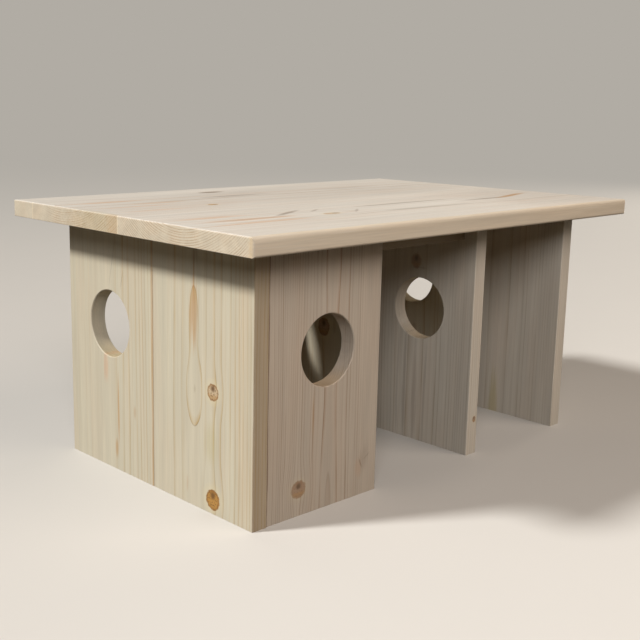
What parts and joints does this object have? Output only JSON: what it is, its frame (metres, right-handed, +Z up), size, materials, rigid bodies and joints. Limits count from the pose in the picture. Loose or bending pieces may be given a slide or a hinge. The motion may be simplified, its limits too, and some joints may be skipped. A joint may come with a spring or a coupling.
{
  "type": "guinea pig house",
  "caption": "Flat-roofed guinea pig house of dowelled spruce boards: a main bay with offset front and rear doorways, an open side bay, round windows and a wide overhanging roof.",
  "frame": {"origin": "on the ground, under the centre of the roof", "axes": "+X along the house from the main bay to the side bay, +Y from the front to the back, +Z up"},
  "size_m": [0.6, 0.4, 0.285],
  "materials": {
    "spruce_roof": "planed and sanded, untreated",
    "spruce_wall": "planed, untreated",
    "spruce_panel": "planed, untreated",
    "spruce_rail": "planed, untreated",
    "beech_dowel": "turned, glued in",
    "zinc_screw": "zinc plated"
  },
  "bodies": {
    "root": {"roof_front_board": "spruce_roof", "roof_middle_board": "spruce_roof", "roof_rear_board": "spruce_roof", "left_wall_front_board": "spruce_wall", "left_wall_rear_board": "spruce_wall", "partition_front_board": "spruce_wall", "partition_rear_board": "spruce_wall", "right_wall_front_board": "spruce_wall", "right_wall_rear_board": "spruce_wall", "front_panel": "spruce_panel", "back_panel": "spruce_panel", "side_bay_panel": "spruce_panel", "front_rail": "spruce_rail", "rear_rail": "spruce_rail", "left_wall_dowels": "beech_dowel", "partition_dowels": "beech_dowel", "right_wall_dowels": "beech_dowel", "front_panel_dowels": "beech_dowel", "back_panel_dowels": "beech_dowel", "side_bay_dowels": "beech_dowel", "rail_dowels": "beech_dowel", "roof_dowels": "beech_dowel", "panel_screws": "zinc_screw", "roof_screws": "zinc_screw"}
  },
  "joints": []
}
